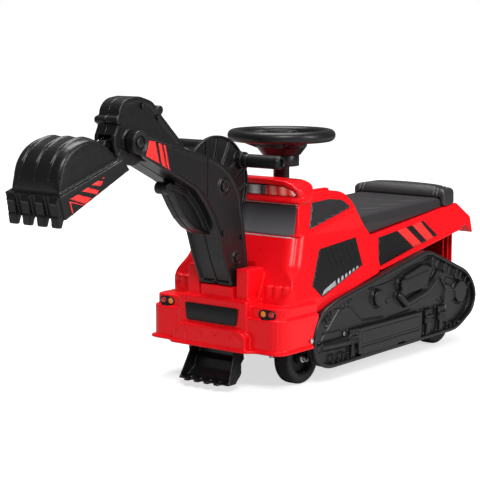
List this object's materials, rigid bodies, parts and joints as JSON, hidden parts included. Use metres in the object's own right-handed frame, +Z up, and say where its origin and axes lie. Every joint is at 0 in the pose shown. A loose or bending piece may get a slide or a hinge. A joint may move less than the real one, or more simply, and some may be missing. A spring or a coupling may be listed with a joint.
{
  "type": "ride-on toy digger",
  "caption": "Ride-on toy digger with dummy crawler tracks, hinged seat lid over a storage tray, steering wheel, two-lever digging arm with bucket and a small front scoop.",
  "frame": {"origin": "centre of the footprint of the bounding box, on the ground", "axes": "+Z up, +X the vehicle's left, +Y towards the tail; the digging arm points along -Y"},
  "size_m": [0.3028, 1.111, 0.5162],
  "materials": {
    "red_plastic": "glossy moulded polypropylene",
    "seat_plastic": "satin moulded plastic",
    "black_plastic": "satin moulded plastic with a fine grain",
    "plate_black": "satin film, blank",
    "zinc_steel": "zinc plated"
  },
  "bodies": {
    "digger_body": {"front_shell": "red_plastic", "rear_shell": "red_plastic", "shell_hinge": "black_plastic", "chassis": "black_plastic", "storage_tray": "black_plastic", "seat_hinge_pin": "zinc_steel", "roof_bush": "black_plastic", "column_foot_bush": "black_plastic", "axle_nuts_rear": "zinc_steel", "rear_axle": "zinc_steel", "track_left": "black_plastic", "track_right": "black_plastic", "track_screws": "zinc_steel", "bumper_screws": "zinc_steel", "base_screws": "zinc_steel", "boom_left": "black_plastic", "boom_right": "black_plastic", "boom_screws": "zinc_steel", "base_bolt": "zinc_steel", "pivot_bolts": "zinc_steel", "arm_nuts": "zinc_steel", "elbow_spacer": "black_plastic", "tip_sleeve": "black_plastic", "front_scoop": "black_plastic", "number_plate": "plate_black"},
    "seat": {"seat_lid": "seat_plastic", "backrest": "seat_plastic"},
    "steering": {"steering_wheel": "black_plastic", "column_sleeve": "black_plastic", "steering_rod": "zinc_steel"},
    "horn": {"horn_button": "black_plastic"},
    "track_rod": {"tie_rod": "zinc_steel"},
    "left_knuckle": {"knuckle_left": "zinc_steel", "king_clip_left": "zinc_steel", "axle_nut_front_left": "zinc_steel"},
    "right_knuckle": {"knuckle_right": "zinc_steel", "king_clip_right": "zinc_steel", "axle_nut_front_right": "zinc_steel"},
    "front_left_wheel": {"wheel_front_left": "black_plastic"},
    "front_right_wheel": {"wheel_front_right": "black_plastic"},
    "rear_left_wheel": {"wheel_rear_left": "black_plastic"},
    "rear_right_wheel": {"wheel_rear_right": "black_plastic"},
    "left_lever": {"lever_left": "black_plastic", "grip_left": "black_plastic", "grip_screw_left": "zinc_steel"},
    "right_lever": {"lever_right": "black_plastic", "grip_right": "black_plastic", "grip_screw_right": "zinc_steel"},
    "left_drag_link": {"drag_link_left": "zinc_steel"},
    "right_drag_link": {"drag_link_right": "zinc_steel"},
    "stick": {"stick_left": "black_plastic", "stick_right": "black_plastic", "stick_screws": "zinc_steel", "bucket_pin": "zinc_steel"},
    "crank": {"bell_crank": "zinc_steel"},
    "crank_bushing": {"crank_bush": "zinc_steel"},
    "curl_link": {"bucket_link": "zinc_steel"},
    "bucket_bushing": {"bucket_bush": "zinc_steel"},
    "digging_bucket": {"bucket": "black_plastic", "lug_pin": "zinc_steel"}
  },
  "joints": [
    {"name": "seat_lift", "type": "hinge", "parent": "digger_body", "child": "seat", "pos_m": [0, 0.5155, 0.279], "axis": [-1, 0, 0], "range_deg": [0, 80]},
    {"name": "steering_turn", "type": "hinge", "parent": "digger_body", "child": "steering", "pos_m": [0, 0.0735, 0.43], "axis": [0, 0, 1], "range_deg": [-22, 22]},
    {"name": "horn_press", "type": "slide", "parent": "steering", "child": "horn", "axis": [0, 0, -1], "range_m": [0, 0.003], "stiffness_N_per_m": 400},
    {"name": "track_rod_follow", "type": "hinge", "parent": "steering", "child": "track_rod", "pos_m": [0, 0.0385, 0.06], "axis": [0, 0, 1], "range_deg": [-22, 22]},
    {"name": "king_pin_left", "type": "hinge", "parent": "digger_body", "child": "left_knuckle", "pos_m": [0.072, -0.0105, 0.1], "axis": [0, 0, 1], "range_deg": [-22, 22]},
    {"name": "king_pin_right", "type": "hinge", "parent": "digger_body", "child": "right_knuckle", "pos_m": [-0.072, -0.0105, 0.1], "axis": [0, 0, 1], "range_deg": [-22, 22]},
    {"name": "spin_front_left", "type": "hinge", "parent": "left_knuckle", "child": "front_left_wheel", "pos_m": [0.098, -0.0105, 0.048], "axis": [1, 0, 0], "continuous": true},
    {"name": "spin_front_right", "type": "hinge", "parent": "right_knuckle", "child": "front_right_wheel", "pos_m": [-0.098, -0.0105, 0.048], "axis": [1, 0, 0], "continuous": true},
    {"name": "spin_rear_left", "type": "hinge", "parent": "digger_body", "child": "rear_left_wheel", "pos_m": [0.098, 0.4395, 0.048], "axis": [1, 0, 0], "continuous": true},
    {"name": "spin_rear_right", "type": "hinge", "parent": "digger_body", "child": "rear_right_wheel", "pos_m": [-0.098, 0.4395, 0.048], "axis": [1, 0, 0], "continuous": true},
    {"name": "left_lever_swing", "type": "hinge", "parent": "digger_body", "child": "left_lever", "pos_m": [0.0175, -0.1365, 0.356], "axis": [1, 0, 0], "range_deg": [-8, 32]},
    {"name": "right_lever_swing", "type": "hinge", "parent": "digger_body", "child": "right_lever", "pos_m": [-0.0175, -0.1365, 0.356], "axis": [1, 0, 0], "range_deg": [-25, 28]},
    {"name": "stick_swing", "type": "hinge", "parent": "digger_body", "child": "stick", "pos_m": [0, -0.3505, 0.444], "axis": [1, 0, 0], "range_deg": [-8, 32]},
    {"name": "left_drag_link_follow", "type": "hinge", "parent": "left_lever", "child": "left_drag_link", "pos_m": [0.011, -0.1061, 0.3788], "axis": [1, 0, 0], "range_deg": [-32, 8]},
    {"name": "crank_swing", "type": "hinge", "parent": "digger_body", "child": "crank", "pos_m": [-0.016, -0.3505, 0.444], "axis": [1, 0, 0], "range_deg": [-25, 28]},
    {"name": "right_drag_link_follow", "type": "hinge", "parent": "right_lever", "child": "right_drag_link", "pos_m": [-0.011, -0.1061, 0.3788], "axis": [1, 0, 0], "range_deg": [-28, 25]},
    {"name": "crank_bushing_follow", "type": "hinge", "parent": "crank", "child": "crank_bushing", "pos_m": [-0.011, -0.3635, 0.462], "axis": [1, 0, 0], "range_deg": [-28, 25]},
    {"name": "curl_link_follow", "type": "hinge", "parent": "crank_bushing", "child": "curl_link", "pos_m": [-0.011, -0.3635, 0.462], "axis": [1, 0, 0], "range_deg": [-8, 32]},
    {"name": "bucket_bushing_follow", "type": "hinge", "parent": "stick", "child": "bucket_bushing", "pos_m": [0, -0.3795, 0.424], "axis": [1, 0, 0], "range_deg": [-32, 8]},
    {"name": "bucket_curl", "type": "hinge", "parent": "bucket_bushing", "child": "digging_bucket", "pos_m": [0, -0.3795, 0.424], "axis": [1, 0, 0], "range_deg": [-25, 28]}
  ],
  "couplings": [
    {"joint": "track_rod_follow", "follows": "steering_turn", "ratio": -1},
    {"joint": "king_pin_left", "follows": "steering_turn", "ratio": 1},
    {"joint": "king_pin_right", "follows": "steering_turn", "ratio": 1},
    {"joint": "stick_swing", "follows": "left_lever_swing", "ratio": 1},
    {"joint": "left_drag_link_follow", "follows": "left_lever_swing", "ratio": -1},
    {"joint": "crank_swing", "follows": "right_lever_swing", "ratio": 1},
    {"joint": "right_drag_link_follow", "follows": "right_lever_swing", "ratio": -1},
    {"joint": "crank_bushing_follow", "follows": "right_lever_swing", "ratio": -1},
    {"joint": "curl_link_follow", "follows": "left_lever_swing", "ratio": 1},
    {"joint": "bucket_bushing_follow", "follows": "left_lever_swing", "ratio": -1},
    {"joint": "bucket_curl", "follows": "right_lever_swing", "ratio": 1}
  ]
}
